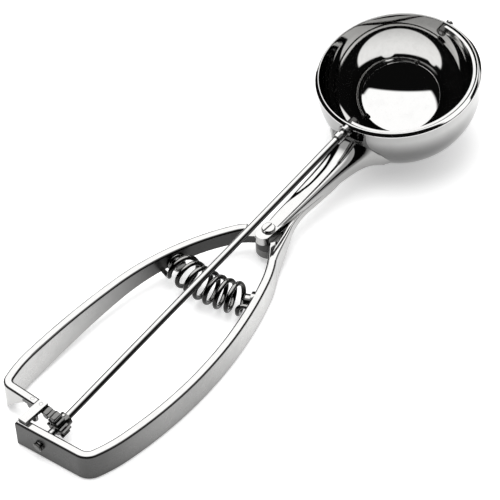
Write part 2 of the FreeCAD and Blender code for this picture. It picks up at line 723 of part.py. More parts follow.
# Rack
def make_rivets():
    """Two flush rivets that hold the rack, one in the slide block and one in the lever's tongue."""
    rivets = []
    in_block = (d.block_side + d.lever_start_side) / 2
    in_tongue = d.first_rib_side + (d.rack_ribs - 1) * d.tooth_pitch
    for name, side, top in (("block", in_block, d.block_top), ("tongue", in_tongue, d.lever_top)):
        rivets.append(cylinder("rack_rivet_" + name, FLAT,
                               (-d.lever_start_back, side, top - d.rivet_length), UPRIGHT,
                               "rivet_diameter / 2", "rivet_length"))
    node("rack_rivets", fuse("rack_rivets_piece", rivets))
    return rivets


def make_rack(rivets):
    """Bar with round ribs below that mesh with the pinion and round lobes on top."""
    pitch_line = sink + pitch_radius
    back_bottom = sink + tip_radius + d.tip_clearance
    back_top = back_bottom + d.rack_back
    start = -d.pinion_from_bowl - d.rack_width / 2
    end = start + d.rack_width
    half_rib = rib_radius + d.rack_end_margin
    tail = d.first_rib_side + (d.rack_ribs - 1) * d.tooth_pitch + d.rack_tail
    parts = [box("rack_back_bar", TILTED, (start, d.first_rib_side - half_rib, back_bottom),
                 (end, tail, back_top))]
    for index in range(int(d.rack_ribs)):
        side = d.first_rib_side + index * d.tooth_pitch
        parts.append(cylinder("rack_rib_%d" % index, TILTED, (start, side, pitch_line), ALONG_X,
                              "rib_diameter / 2", "rack_width"))
        parts.append(box("rack_rib_root_%d" % index, TILTED, (start, side - rib_radius, pitch_line),
                         (end, side + rib_radius, back_bottom)))
        if index < d.rack_ribs_seen:
            reach = 1.5 * d.rack_lobe_radius
            drop = d.rack_lobe_radius - d.rack_lobe
            lobe = cylinder("rack_lobe_%d" % index, TILTED, (start, side, back_top - drop), ALONG_X,
                            "rack_lobe_radius", "rack_width")
            slab = box("rack_lobe_slab_%d" % index, TILTED, (start, side - reach, back_bottom),
                       (end, side + reach, back_top + reach))
            crown = doc.addObject("Part::Common", "rack_crown_%d" % index)
            crown.Base = lobe
            crown.Tool = slab
            parts.append(crown)
    return node("rack", cut("rack_piece", fuse("rack_whole", parts), rivets))


def make_slide_block(rack, rivets):
    """Cross block on the tongue that slides over the rear strip, with a round guide stud."""
    bottom = d.strip_height + d.block_clearance
    rear = -d.lever_start_back + d.strip_thickness / 2 - d.block_length
    low = (rear, d.block_side, bottom)
    high = (rear + d.block_length, d.lever_start_side, d.block_top)
    raw = box("slide_block_raw", FLAT, low, high)
    node("slide_block", cut("slide_block_piece", raw, [rack] + rivets))
    stud_x = table_x(-d.pinion_from_bowl, sink) - d.stud_behind_rack - d.stud_diameter / 2
    side = (d.block_side + d.lever_start_side) / 2
    stud = cylinder("guide_stud_shank", FLAT, (stud_x, side, bottom - d.stud_drop), UPRIGHT,
                    "stud_diameter / 2", "stud_drop")
    return node("guide_stud", stud)


# Spring
def on_spring_axis(turned, out, up):
    """Point beside the bowed spring axis: angle along the bow, distance outwards and upwards."""
    reach = d.spring_bow_radius + out
    return Vector(bow_centre.x + reach * math.cos(turned), bow_centre.y + reach * math.sin(turned),
                  d.spring_height + up)


def spring_axis_direction(turned):
    """Direction of the spring axis towards the fixed handle."""
    return Vector(-math.sin(turned), math.cos(turned), 0)


def coil_point(turned, wind):
    """Wire centre at an angle along the bow and an angle round the coil."""
    return on_spring_axis(turned, coil_radius * math.cos(wind), coil_radius * math.sin(wind))


def bent(start, direction, end):
    """Arc from a start point and direction to an end point."""
    chord = end - start
    half = chord.Length / 2
    along = chord.normalize()
    sideways = direction - along * direction.dot(along)
    if sideways.Length < 1e-7:
        return Part.LineSegment(start, end)
    swing = math.acos(max(-1.0, min(1.0, direction.dot(along))))
    crest = (start + end) * 0.5 + sideways.normalize() * (half * math.tan(swing / 2))
    return Part.Arc(start, crest, end)


def biarc(start, first, end, last):
    """Two tangent arcs between two points with given directions."""
    gap = end - start
    both = first + last
    spread = 2 * (1 - first.dot(last))
    along = gap.dot(both)
    handle = (-along + math.sqrt(along * along + 2 * spread * gap.dot(gap))) / (2 * spread)
    joint = (start + end) * 0.5 + (first - last) * (handle / 2)
    direction = (joint - start - first * handle)
    direction = direction.normalize()
    return [bent(start, first, joint), bent(joint, direction, end)]


def make_spring(fixed, lever):
    """Bowed coil spring between the two strips, one wire with straight ends square to them."""
    whole = bow_end - bow_start
    margin = math.copysign((d.spring_wire + d.spring_lead) / d.spring_bow_radius, whole)
    steps = int(d.spring_turns * 4)
    places = []
    for index in range(steps + 1):
        share = index / steps
        turned = bow_start + margin + (whole - 2 * margin) * share
        places.append((turned, math.pi * index / 2))
    nudge = 1e-4
    slope = (whole - 2 * margin) / (steps * math.pi / 2)
    knots = []
    for turned, wind in places:
        ahead = coil_point(turned + slope * nudge, wind + nudge)
        behind = coil_point(turned - slope * nudge, wind - nudge)
        knots.append((coil_point(turned, wind), (ahead - behind).normalize()))
    way = math.copysign(1, whole)
    straight = math.copysign(d.spring_wire / d.spring_bow_radius, whole)
    extra = math.radians(d.spring_end_wind)
    ends = []
    for turned, wind in ((bow_start + straight, -extra), (bow_end - straight, places[-1][1] + extra)):
        ends.append((coil_point(turned, wind), spring_axis_direction(turned) * way))
    knots = [ends[0]] + knots + [ends[1]]
    edges = []
    for (start, first), (end, last) in zip(knots, knots[1:]):
        edges.extend(biarc(start, first, end, last))
    lead_in = Part.LineSegment(ends[0][0] - ends[0][1] * d.spring_lead_in, ends[0][0])
    lead_out = Part.LineSegment(ends[1][0], ends[1][0] + ends[1][1] * d.spring_lead_in)
    edges = [lead_in] + edges + [lead_out]
    pieces = [edge.toShape() for edge in edges]
    tightest = min(piece.Curve.Radius for piece in pieces if isinstance(piece.Curve, Part.Circle))
    path = Part.Wire(pieces)
    ring = Part.Wire(Part.Circle(lead_in.StartPoint, ends[0][1], d.spring_wire / 2).toShape())
    sweep = Part.BRepOffsetAPI.MakePipeShell(path)
    sweep.add(ring)
    sweep.build()
    sweep.makeSolid()
    wire = sweep.shape()
    marks = path.discretize(Number=60 * int(d.spring_turns))
    step = path.Length / (len(marks) - 1)
    apart = int(math.pi * coil_radius / step)
    least = min((a - b).Length for i, a in enumerate(marks) for b in marks[i + apart:])
    print("spring least gap %.2f tightest bend %.2f volume %.1f of %.1f" % (
        least - d.spring_wire, tightest, wire.Volume, math.pi * d.spring_wire ** 2 / 4 * path.Length))
    raw = solid("spring_wire_raw", wire)
    return node("spring", cut("spring_piece", raw, [fixed, lever]))


def make_spring_seats(fixed, lever):
    """Round seats with a nipple inside the spring's ends, one on each strip."""
    for name, turned, way, strip_piece in (("lever_spring_seat", bow_start, 1, lever),
                                           ("fixed_spring_seat", bow_end, -1, fixed)):
        into = spring_axis_direction(turned) * (math.copysign(1, bow_end - bow_start) * way)
        face = on_spring_axis(turned, 0, 0)
        disc = Part.makeCylinder(d.seat_diameter / 2, d.seat_thickness + d.seat_sink,
                                 face - into * d.seat_sink, into)
        nipple = Part.makeCylinder(d.nipple_diameter / 2, d.seat_thickness + d.nipple_length, face, into)
        tip = [e for e in nipple.Edges if len(e.Vertexes) == 1
               and (e.Vertexes[0].Point - face).dot(into) > d.seat_thickness]
        raw = solid(name + "_raw", disc.fuse(nipple.makeFillet(d.nipple_round, tip)).removeSplitter())
        node(name, cut(name + "_piece", raw, [strip_piece]))


# Hinge screw and nut
def make_hinge_screw():
    """Slotted screw down through tongue, eye and lug, with a hexagonal nut below."""
    hinge = -d.hinge_from_bowl
    bottom = d.lug_bottom - d.nut_height
    shank = Part.makeCylinder(d.hinge_pin_diameter / 2, tongue_top - bottom, Vector(hinge, 0, bottom))
    head = Part.makeCylinder(d.screw_head_radius, d.screw_head_height, Vector(hinge, 0, tongue_top))
    rim = [e for e in head.Edges if len(e.Vertexes) == 1
           and e.Vertexes[0].Z > tongue_top + d.screw_head_height / 2]
    head = head.makeFillet(d.screw_head_round, rim)
    slot = Part.makeBox(4 * d.screw_head_radius, d.screw_slot_width, d.screw_head_height,
                        Vector(hinge - 2 * d.screw_head_radius, -d.screw_slot_width / 2,
                               tongue_top + d.screw_head_height - d.screw_slot_depth))
    node("hinge_screw", solid("hinge_screw_piece", shank.fuse(head).cut(slot).removeSplitter()))
    reach = d.nut_across / math.sqrt(3)
    corners = [Vector(hinge + reach * math.cos(math.radians(60 * k)), reach * math.sin(math.radians(60 * k)),
                      bottom) for k in range(7)]
    prism = Part.Face(Part.makePolygon(corners)).extrude(Vector(0, 0, d.nut_height))
    hole = Part.makeCylinder(d.hinge_pin_diameter / 2, d.nut_height, Vector(hinge, 0, bottom))
    node("hinge_nut", solid("hinge_nut_piece", prism.cut(hole)))


make_bowl()
make_rod()
make_pinion()
make_pinion_pin()
make_rod_rings()
make_bushes()
make_scraper()
make_far_pivot()
neck_node = make_neck()
rivet_tools = make_rivets()
rack_node = make_rack(rivet_tools)
fixed_node = make_fixed_handle(neck_node)
lever_node = make_lever(rack_node, rivet_tools)
make_spring(fixed_node, lever_node)
make_spring_seats(fixed_node, lever_node)
make_slide_block(rack_node, rivet_tools)
make_hinge_screw()
doc.recompute()

# Checks and export
for item in doc.Objects:
    if "Invalid" in item.State or "Error" in item.State:
        raise RuntimeError("failed: " + item.Name)
os.makedirs("parts", exist_ok=True)
for item in nodes:
    shape = item.Shape
    if shape.isNull() or not shape.isValid() or not shape.Solids:
        raise RuntimeError("bad shape: " + item.Label)
    shape.exportStep("parts/%s.step" % item.Label)
    extent = shape.optimalBoundingBox(False)
    print("%-18s solids %d volume %.2f x %.1f..%.1f y %.1f..%.1f z %.2f..%.2f" % (
        item.Label, len(shape.Solids), shape.Volume, extent.XMin, extent.XMax,
        extent.YMin, extent.YMax, extent.ZMin, extent.ZMax))
hinge_radius = -table_x(-d.pinion_from_bowl, sink) - d.hinge_from_bowl
print("spring seats", seat_lever, seat_fixed)
print("middle", middle, "hinge x", -d.hinge_from_bowl - middle)
print("strip ends", fixed_legs[-1][:2], lever_legs[-1][:2])
print("rod axis point", table_x(0, sink) - middle, table_z(0, sink),
      "direction", math.cos(tilt), math.sin(tilt))
print("coupling ratio", hinge_radius / pitch_radius)
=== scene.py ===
"""Dresses the lever ice cream scoop: polished castings, turned rod work and coil spring, in a light tent."""

from __future__ import annotations

import json
import logging
import math
from dataclasses import dataclass, field
from enum import Enum
from typing import Any

import bmesh
import bpy
from mathutils import Matrix, Vector

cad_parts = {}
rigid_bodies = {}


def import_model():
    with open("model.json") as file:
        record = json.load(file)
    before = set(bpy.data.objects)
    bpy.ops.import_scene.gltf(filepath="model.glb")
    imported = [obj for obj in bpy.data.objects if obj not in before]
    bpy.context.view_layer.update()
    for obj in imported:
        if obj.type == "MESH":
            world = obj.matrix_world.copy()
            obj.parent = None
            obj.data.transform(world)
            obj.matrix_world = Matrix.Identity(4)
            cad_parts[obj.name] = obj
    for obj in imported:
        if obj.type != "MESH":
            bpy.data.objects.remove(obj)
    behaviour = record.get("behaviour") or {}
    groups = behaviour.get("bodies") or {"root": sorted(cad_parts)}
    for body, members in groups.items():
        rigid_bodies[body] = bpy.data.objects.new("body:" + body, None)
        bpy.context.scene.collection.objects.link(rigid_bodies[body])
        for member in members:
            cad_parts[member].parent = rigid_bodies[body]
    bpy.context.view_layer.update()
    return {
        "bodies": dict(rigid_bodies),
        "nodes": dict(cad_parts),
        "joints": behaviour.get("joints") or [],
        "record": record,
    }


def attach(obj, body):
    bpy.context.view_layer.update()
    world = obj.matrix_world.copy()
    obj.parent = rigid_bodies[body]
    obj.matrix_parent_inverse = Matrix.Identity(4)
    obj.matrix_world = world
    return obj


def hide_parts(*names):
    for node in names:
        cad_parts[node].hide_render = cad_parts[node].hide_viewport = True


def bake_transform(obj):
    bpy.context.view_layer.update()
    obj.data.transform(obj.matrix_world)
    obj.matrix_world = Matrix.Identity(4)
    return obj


LOG = logging.getLogger("scoop")
MM = 0.001

# Centre of the bowl's half ball, in millimetres
BOWL_CENTRE = (71.44986625, 0.0, 26.4)

# Reflected colour of clean stainless steel
BRIGHT = (0.8, 0.796, 0.787)


class Body(Enum):
    """The frame's bodies that a piece can ride on."""

    FIXED = "body"
    LEVER = "lever"
    ROD = "rod"


class Slot(Enum):
    """The record's material slots."""

    STEEL = "bright_steel"
    BOWL = "bowl_polish"
    SPRING = "spring_steel"
    DARK = "dark_steel"


@dataclass(frozen=True)
class Shade:
    """A socket of a shader graph that can be written in sums and products.

    Args:
        graph: the graph that new Math nodes go into.
        socket: the output socket that holds the value.
    """

    graph: "Graph"
    socket: bpy.types.NodeSocket

    def _math(self, operation: str, first: Any, second: Any) -> "Shade":
        """Adds the Math node of an operation on two values."""
        return self.graph.node("ShaderNodeMath", {"operation": operation}, {0: first, 1: second})

    def __add__(self, other: "Shade | float") -> "Shade":
        """This value plus another."""
        return self._math("ADD", self, other)

    __radd__ = __add__

    def __sub__(self, other: "Shade | float") -> "Shade":
        """This value less another."""
        return self._math("SUBTRACT", self, other)

    def __rsub__(self, other: float) -> "Shade":
        """A number less this value."""
        return self._math("SUBTRACT", other, self)

    def __mul__(self, other: "Shade | float") -> "Shade":
        """This value times another."""
        return self._math("MULTIPLY", self, other)

    __rmul__ = __mul__

    def above(self, low: float, high: float) -> "Shade":
        """A smooth step of this value.

        Args:
            low: value at which the step leaves 0.
            high: value at which the step reaches 1.

        Returns:
            A value from 0 to 1.
        """
        return self.graph.node(
            "ShaderNodeMapRange",
            {"interpolation_type": "SMOOTHSTEP"},
            {"Value": self, "From Min": low, "From Max": high, "To Min": 0.0, "To Max": 1.0},
        )


class Graph:
    """The node tree of one material or of the world."""

    def __init__(self, owner: bpy.types.Material | bpy.types.World) -> None:
        """Empties the owner's node tree.

        Args:
            owner: the material or world whose nodes are made here.
        """
        owner.use_nodes = True
        self.owner = owner
        self.tree = owner.node_tree
        self.tree.nodes.clear()

    def node(self, kind: str, settings: dict[str, Any], inputs: dict[Any, Any], output: Any = 0) -> Shade:
        """Adds a node.

        Args:
            kind: the node's type.
            settings: its properties, which are set first.
            inputs: a value or a Shade for each socket, by name or number.
            output: the output socket to hand back, by name or number.

        Returns:
            That output socket.
        """
        made = self.tree.nodes.new(kind)
        for name, value in settings.items():
            setattr(made, name, value)
        for name, value in inputs.items():
            if isinstance(value, Shade):
                self.tree.links.new(value.socket, made.inputs[name])
            else:
                made.inputs[name].default_value = value
        return Shade(self, made.outputs[output])

    def noise(self, where: Shade, scale: float, detail: float) -> Shade:
        """Cloudy noise over a vector, from 0 to 1."""
        return self.node("ShaderNodeTexNoise", {}, {"Vector": where, "Scale": scale, "Detail": detail}, "Fac")

    def split(self, vector: Shade, axis: str) -> Shade:
        """One axis of a vector, as a number."""
        return self.node("ShaderNodeSeparateXYZ", {}, {"Vector": vector}, axis)

    def close(self, shader: Shade) -> None:
        """Links a finished shader to the tree's output.

        Args:
            shader: the surface of the material, or the background of the world.
        """
        whole_world = isinstance(self.owner, bpy.types.World)
        kind = "ShaderNodeOutputWorld" if whole_world else "ShaderNodeOutputMaterial"
        end = self.tree.nodes.new(kind)
        self.tree.links.new(shader.socket, end.inputs["Surface"])


@dataclass(frozen=True)
class WearAndShade:
    """How use and polishing show, and where shade is painted, alike on every steel of the scoop.

    Args:
        line_detail: how broken the scratches are.
        cloud: waves per metre of the hazy patches.
        cloud_detail: how broken the edges of those patches are.
        swell_detail: how broken the slow unevenness is.
        hazy: noise from which a patch begins to be hazy, and at which it is.
        scored: noise from which a scratch begins to show, and at which it does.
        scored_gloss: share of the haze's roughness that a scratch adds.
        worn: pointiness from which an edge begins to be worn, and at which it is.
        worn_gloss: how much rougher a worn edge is.
        haze_dulls: how far haze takes the tint to the dulled one.
        score_dulls: how far a scratch takes it there.
        dulled: share of the tint's brightness that the dulled one has.
        rounding: upright shares of the normal between which a rounding leaves the steep side and reaches the
            top; arris_shade paints shade along it.
        clean: open sky from which a place begins to lose the shade painted in narrow places, and at which it
            has lost it.
        sky_samples: rays that look for open sky.
    """

    line_detail: float = 3.0
    cloud: float = 260.0
    cloud_detail: float = 5.0
    swell_detail: float = 1.0
    hazy: tuple[float, float] = (0.42, 0.72)
    scored: tuple[float, float] = (0.58, 0.7)
    scored_gloss: float = 0.6
    worn: tuple[float, float] = (0.53, 0.62)
    worn_gloss: float = 0.08
    haze_dulls: float = 0.35
    score_dulls: float = 0.25
    dulled: float = 0.9
    rounding: tuple[tuple[float, float], tuple[float, float]] = ((0.12, 0.35), (0.88, 0.97))
    clean: tuple[float, float] = (0.25, 0.8)
    sky_samples: int = 8


@dataclass(frozen=True)
class Polish:
    """A polished or brushed steel.

    Args:
        title: the material's name.
        tint: its reflected colour.
        gloss: its roughness where it is cleanest.
        haze: how much rougher its hazy patches are.
        grain: stretch of the fine scratches along each axis, in waves per metre.
        scratch: depth of the scratches, in metres.
        swell: depth of the slow unevenness that hand polishing leaves, in metres.
        swell_scale: waves per metre of that unevenness.
        wear: how much of the worn edges' roughness it has.
        flank_shade: rows of place ahead of the middle, in metres, and share of the tint that steep faces
        keep there under the shade painted on them.
        flank_from: upright share of the normal from which a face begins to count as steep, and at
            which it does.
        flank_gloss: how much rougher the steep faces are left.
        arris_shade: share of the tint that the rounding between top and steep side keeps, which paints a line
            of shade along it.
        gap_shade: share of the tint that is lost to painted shade in the narrow places between pieces.
        gap_shade_reach: width of such a place, in metres.
        wear_and_shade: how use and polishing show on it, and where its shade is painted.
    """

    title: str
    tint: tuple[float, float, float]
    gloss: float
    haze: float
    grain: tuple[float, float, float] = (160.0, 2600.0, 2600.0)
    scratch: float = 0.0000012
    swell: float = 0.000004
    swell_scale: float = 70.0
    wear: float = 0.5
    flank_shade: tuple[tuple[float, float], ...] = ()
    flank_from: tuple[float, float] = (0.6, 0.3)
    flank_gloss: float = 0.0
    arris_shade: float = 1.0
    gap_shade: float = 0.0
    gap_shade_reach: float = 0.004
    wear_and_shade: WearAndShade = WearAndShade()

    def make(self) -> bpy.types.Material:
        """Builds the material.

        Returns:
            The finished material.
        """
        material = bpy.data.materials.new(self.title)
        graph = Graph(material)
        shows = self.wear_and_shade
        place = graph.node("ShaderNodeTexCoord", {}, {}, "Object")
        stretched = graph.node("ShaderNodeVectorMath", {"operation": "MULTIPLY"}, {0: place, 1: self.grain})
        lines = graph.noise(stretched, 1.0, shows.line_detail)
        swell = graph.noise(place, self.swell_scale, shows.swell_detail)
        haze = graph.noise(place, shows.cloud, shows.cloud_detail).above(*shows.hazy)
        fine = lines.above(*shows.scored)
        edge = graph.node("ShaderNodeNewGeometry", {}, {}, "Pointiness").above(*shows.worn)
        rough = self.gloss + self.haze * haze + self.haze * shows.scored_gloss * fine
        rough = rough + edge * (shows.worn_gloss * self.wear)
        colour = self.clean_colour(graph, haze, fine)
        # keep is the share of the tint left under the painted shade of flanks, roundings and narrow places.
        keep: Shade | float = 1.0
        if self.flank_shade:
            upright = graph.split(graph.node("ShaderNodeNewGeometry", {}, {}, "Normal"), "Z")
            steep = 1.0 - upright.above(self.flank_from[1], self.flank_from[0])
            keep = self.kept_under_flank_shade(graph.split(place, "X"), upright, steep)
            rough = rough + steep * self.flank_gloss
        # Painted shade in the narrow places between pieces, where little open sky is seen.
        if self.gap_shade > 0.0:
            keep = self.kept_under_gap_shade(graph) * keep
        # The painted shade mixes the tint towards black.
        if isinstance(keep, Shade):
            black = (0.0, 0.0, 0.0, 1.0)
            darkening = {"Factor": keep, "A": black, "B": colour}
            colour = graph.node("ShaderNodeMix", {"data_type": "RGBA"}, darkening, "Result")
        relief = lines * self.scratch + swell * self.swell
        bump = graph.node("ShaderNodeBump", {}, {"Strength": 1.0, "Distance": 1.0, "Height": relief})
        surface = {"Base Color": colour, "Metallic": 1.0, "Roughness": rough, "Normal": bump}
        graph.close(graph.node("ShaderNodeBsdfPrincipled", {}, surface))
        return material

    def clean_colour(self, graph: Graph, haze: Shade, fine: Shade) -> Shade:
        """Tint of the open, upward faces.

        Args:
            graph: the material's node tree.
            haze: how hazy a place is.
            fine: how much of a scratch shows there.

        Returns:
            The tint, dulled where it is hazy or scratched.
        """
        dull = tuple(part * self.wear_and_shade.dulled for part in self.tint)
        blend = {
            "Factor": haze * self.wear_and_shade.haze_dulls + fine * self.wear_and_shade.score_dulls,
            "A": (*self.tint, 1.0),
            "B": (*dull, 1.0),
        }
        return graph.node("ShaderNodeMix", {"data_type": "RGBA", "blend_type": "MIX"}, blend, "Result")

    def kept_under_flank_shade(self, ahead: Shade, upright: Shade, steep: Shade) -> Shade:
        """Share of the tint that the flanks and the roundings over them keep under their painted shade.

        Args:
            ahead: place ahead of the middle, in metres.
            upright: upright share of the normal.
            steep: how far a face counts as steep.

        Returns:
            The share, which is 1 on the upward faces.
        """
        share: Shade | float = self.flank_shade[0][1]
        for (near, less), (far, more) in zip(self.flank_shade, self.flank_shade[1:]):
            share = share + ahead.above(near, far) * (more - less)
        keep = 1.0 - steep * (1.0 - share)
        # Painted shade along the rounding between top and flank.
        if self.arris_shade < 1.0:
            leaving, reaching = self.wear_and_shade.rounding
            turned = upright.above(*leaving) * (1.0 - upright.above(*reaching))
            keep = keep * (1.0 - turned * (1.0 - self.arris_shade))
        return keep

    def kept_under_gap_shade(self, graph: Graph) -> Shade:
        """Share of the tint that the narrow places keep under their painted shade, which deepens as less open
        sky is seen.

        Args:
            graph: the material's node tree.

        Returns:
            The share, which is 1 in the open.
        """
        samples, reach = {"samples": self.wear_and_shade.sky_samples}, {"Distance": self.gap_shade_reach}
        sky = graph.node("ShaderNodeAmbientOcclusion", samples, reach, "AO")
        return 1.0 - (1.0 - sky.above(*self.wear_and_shade.clean)) * self.gap_shade


# Painted shade on the fixed strip's flanks, darkest at the rear end and ahead of the hinge, on its roundings
# and in its narrow places.
FIXED_STEEL = Polish(
    "fixed_strip_steel",
    BRIGHT,
    gloss=0.05,
    haze=0.05,
    flank_shade=((-0.097, 0.1), (-0.06, 0.34), (-0.012, 0.72), (-0.004, 0.6), (0.004, 0.08)),
    flank_gloss=0.22,
    arris_shade=0.12,
    gap_shade=0.6,
)
# Painted shade on the lever's flanks, darker towards the hinge, on its roundings and in its narrow places.
LEVER_STEEL = Polish(
    "lever_strip_steel",
    BRIGHT,
    gloss=0.05,
    haze=0.05,
    flank_shade=((-0.085, 0.62), (-0.01, 0.06)),
    flank_gloss=0.22,
    arris_shade=0.12,
    gap_shade=0.6,
)
# Painted shade on the neck's flanks and roundings, and in the narrow places round it.
NECK_STEEL = Polish(
    "neck_steel",
    BRIGHT,
    gloss=0.05,
    haze=0.05,
    flank_shade=((0.0, 0.6), (0.04, 0.4)),
    flank_gloss=0.12,
    arris_shade=0.3,
    gap_shade=0.8,
    gap_shade_reach=0.005,
)
# Painted shade on the bowl's downward faces, darker towards the bottom, and in the narrow places where other
# pieces come close.
BOWL_STEEL = Polish(
    "bowl_steel_polish",
    (0.8, 0.797, 0.79),
    gloss=0.02,
    haze=0.03,
    grain=(1900.0, 1900.0, 240.0),
    scratch=0.0000004,
    swell=0.000001,
    swell_scale=40.0,
    flank_shade=((0.0, 0.16),),
    flank_from=(0.36, -0.4),
    gap_shade=0.75,
    gap_shade_reach=0.014,
)
# Painted shade on the flanks and roundings of the turned pieces, and in the narrow places round them.
TURNED_STEEL = Polish(
    "turned_steel",
    BRIGHT,
    gloss=0.06,
    haze=0.06,
    grain=(60.0, 3200.0, 3200.0),
    flank_shade=((-0.1, 0.4), (0.1, 0.3)),
    arris_shade=0.15,
    gap_shade=0.95,
    gap_shade_reach=0.002,
)
# Painted shade darkens the rod's sides and underside, leaving a bright line along its top.
ROD_STEEL = Polish(
    "rod_steel",
    BRIGHT,
    gloss=0.05,
    haze=0.05,
    grain=(60.0, 3200.0, 3200.0),
    flank_shade=((0.0, 0.05),),
    flank_from=(0.93, 0.78),
    flank_gloss=0.1,
)
# A dark tint paints the shade among the rack and pinion, with painted shade on their flanks and in their
# narrow places.
DRIVE_STEEL = Polish(
    "shaded_drive_steel",
    (0.24, 0.238, 0.234),
    gloss=0.12,
    haze=0.1,
    grain=(900.0, 900.0, 900.0),
    flank_shade=((0.0, 0.1),),
    gap_shade=0.9,
)
# Painted shade darkens all but the tops of the coils.
WIRE_STEEL = Polish(
    "spring_wire_steel",
    (0.45, 0.445, 0.435),
    gloss=0.06,
    haze=0.08,
    grain=(1500.0, 1500.0, 1500.0),
    scratch=0.000002,
    swell=0.000002,
    swell_scale=300.0,
    wear=1.0,
    flank_shade=((0.0, 0.06),),
    flank_from=(0.9, 0.7),
)
DARK_STEEL = Polish(
    "blackened_head_steel",
    (0.1, 0.098, 0.095),
    gloss=0.22,
    haze=0.14,
    grain=(1800.0, 1800.0, 1800.0),
    scratch=0.000003,
)
STRIP_STEEL = Polish(
    "scraper_strip_steel",
    (0.78, 0.775, 0.766),
    gloss=0.08,
    haze=0.06,
    grain=(300.0, 300.0, 2400.0),
    scratch=0.0000015,
)


class Finishes:
    """The materials, each made once and shared."""

    def __init__(self) -> None:
        """Starts with none made."""
        self.made: dict[str, bpy.types.Material] = {}

    def get(self, finish: Polish) -> bpy.types.Material:
        """Hands out the material of a finish.

        Args:
            finish: the steel that is wanted.

        Returns:
            Its material, made at its first use.
        """
        if finish.title not in self.made:
            self.made[finish.title] = finish.make()
        return self.made[finish.title]


def put(name: str, data: bpy.types.ID) -> bpy.types.Object:
    """Stands a mesh, a lens or a light in the scene.

    Args:
        name: the object's name.
        data: what it shows.

    Returns:
        The object.
    """
    made = bpy.data.objects.new(name, data)
    bpy.context.scene.collection.objects.link(made)
    return made


def dress(piece: bpy.types.Object, steel: bpy.types.Material, body: Body, node: str) -> None:
    """Gives a piece its steel, hangs it on the body that it rides on, and hides the CAD node that it stands
    for.

    Args:
        piece: the piece.
        steel: its material.
        body: the body that it rides on.
        node: the CAD node that it stands for.
    """
    piece.data.materials.clear()
    piece.data.materials.append(steel)
    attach(piece, body.value)
    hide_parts(node)
    LOG.info("built %s on %s", piece.name, body.value)


@dataclass
class Part:
    """One CAD node, shown as a copy with its sharp edges broken.

    Args:
        node: the node's name.
        body: the body that it rides on.
        finish: its steel.
        slot: the record's material slot that goes with it; not used.
        edge: width that the broken edges have, in millimetres.
        segments: faces across each broken edge.
        cut_ahead: where the copy is cut off, in millimetres ahead of the middle, or None.
        meshing: whether its teeth run in another piece's, so that its faces stay, a hair further in.
        tooth_room: how much further in, in millimetres.
        weld: distance under which two corners are one, in millimetres.
        flat: bend under which two faces are one, in degrees.
        sharp: bend over which an edge is broken, in degrees.
    """

    node: str
    body: Body
    finish: Polish
    slot: Slot = Slot.STEEL
    edge: float = 0.15
    segments: int = 2
    cut_ahead: float | None = None
    meshing: bool = False
    tooth_room: float = 0.04
    weld: float = 0.002
    flat: float = 0.4
    sharp: float = 35.0

    def build(self, frame: dict[str, Any], finishes: Finishes) -> None:
        """Copies the node's solid, cleans its faces, breaks its edges and dresses it.

        Args:
            finishes: the shared materials.
        """
        name = self.node + "_finished"
        mesh = bpy.data.meshes.new(name)
        cage = bmesh.new()
        cage.from_mesh(frame["nodes"][self.node].data)
        self.clean(cage)
        if self.cut_ahead is not None:
            self.cut(cage)
        cage.to_mesh(mesh)
        cage.free()
        piece = put(name, mesh)
        self.break_edges(piece)
        dress(piece, finishes.get(self.finish), self.body, self.node)

    def clean(self, cage: bmesh.types.BMesh) -> None:
        """Joins the facets of each flat face, or draws a toothed piece's faces in.

        Args:
            cage: the copy of the solid's mesh.
        """
        bmesh.ops.remove_doubles(cage, verts=cage.verts, dist=self.weld * MM)
        if self.meshing:
            cage.normal_update()
            for corner in cage.verts:
                corner.co -= corner.normal * (self.tooth_room * MM)
            return
        bend = math.radians(self.flat)
        bmesh.ops.dissolve_limit(
            cage, angle_limit=bend, use_dissolve_boundaries=False, verts=cage.verts, edges=cage.edges
        )

    def cut(self, cage: bmesh.types.BMesh) -> None:
        """Cuts the copy off square and closes the cut.

        Args:
            cage: the copy of the solid's mesh.
        """
        everything = cage.verts[:] + cage.edges[:] + cage.faces[:]
        where = Vector((self.cut_ahead * MM, 0.0, 0.0))
        touching = 1e-7
        sliced = bmesh.ops.bisect_plane(
            cage, geom=everything, dist=touching, plane_co=where, plane_no=(1.0, 0.0, 0.0), clear_outer=True
        )
        rim = [item for item in sliced["geom_cut"] if isinstance(item, bmesh.types.BMEdge)]
        bmesh.ops.holes_fill(cage, edges=rim, sides=0)

    def break_edges(self, piece: bpy.types.Object) -> None:
        """Breaks the sharp edges and evens the shading of the faces between them.

        Args:
            piece: the piece.
        """
        broken = piece.modifiers.new("broken_edges", "BEVEL")
        broken.width = self.edge * MM
        broken.segments = self.segments
        broken.limit_method = "ANGLE"
        broken.angle_limit = math.radians(self.sharp)
        broken.use_clamp_overlap = True
        broken.harden_normals = False
        piece.data.shade_smooth()
        level = piece.modifiers.new("level_normals", "WEIGHTED_NORMAL")
        level.mode = "FACE_AREA_WITH_ANGLE"
        level.keep_sharp = True


@dataclass
class Assembly:
    """Pieces of the scoop that are finished copies of CAD nodes.

    Args:
        parts: those pieces, in the order in which they are built.
    """

    parts: list[Part] = field(default_factory=list)

    def build(self, frame: dict[str, Any], finishes: Finishes) -> None:
        """Builds each piece.

        Args:
            finishes: the shared materials.
        """
        for part in self.parts:
            part.build(frame, finishes)


def ease(low: float, high: float, value: float) -> float:
    """A smooth step from 0 at low to 1 at high, which may be the smaller of the two."""
    share = min(max((value - low) / (high - low), 0.0), 1.0)
    return share * share * (3.0 - 2.0 * share)


def squared(value: float, power: float) -> float:
    """A sine or cosine raised to a power with its sign kept, which squares a round section."""
    return math.copysign(abs(value) ** power, value)


def turns(count: int, first: float = 0.0) -> list[float]:
    """Angles of a full turn in equal steps, which begins at a share of a step."""
    return [2.0 * math.pi * (step + first) / count for step in range(count)]


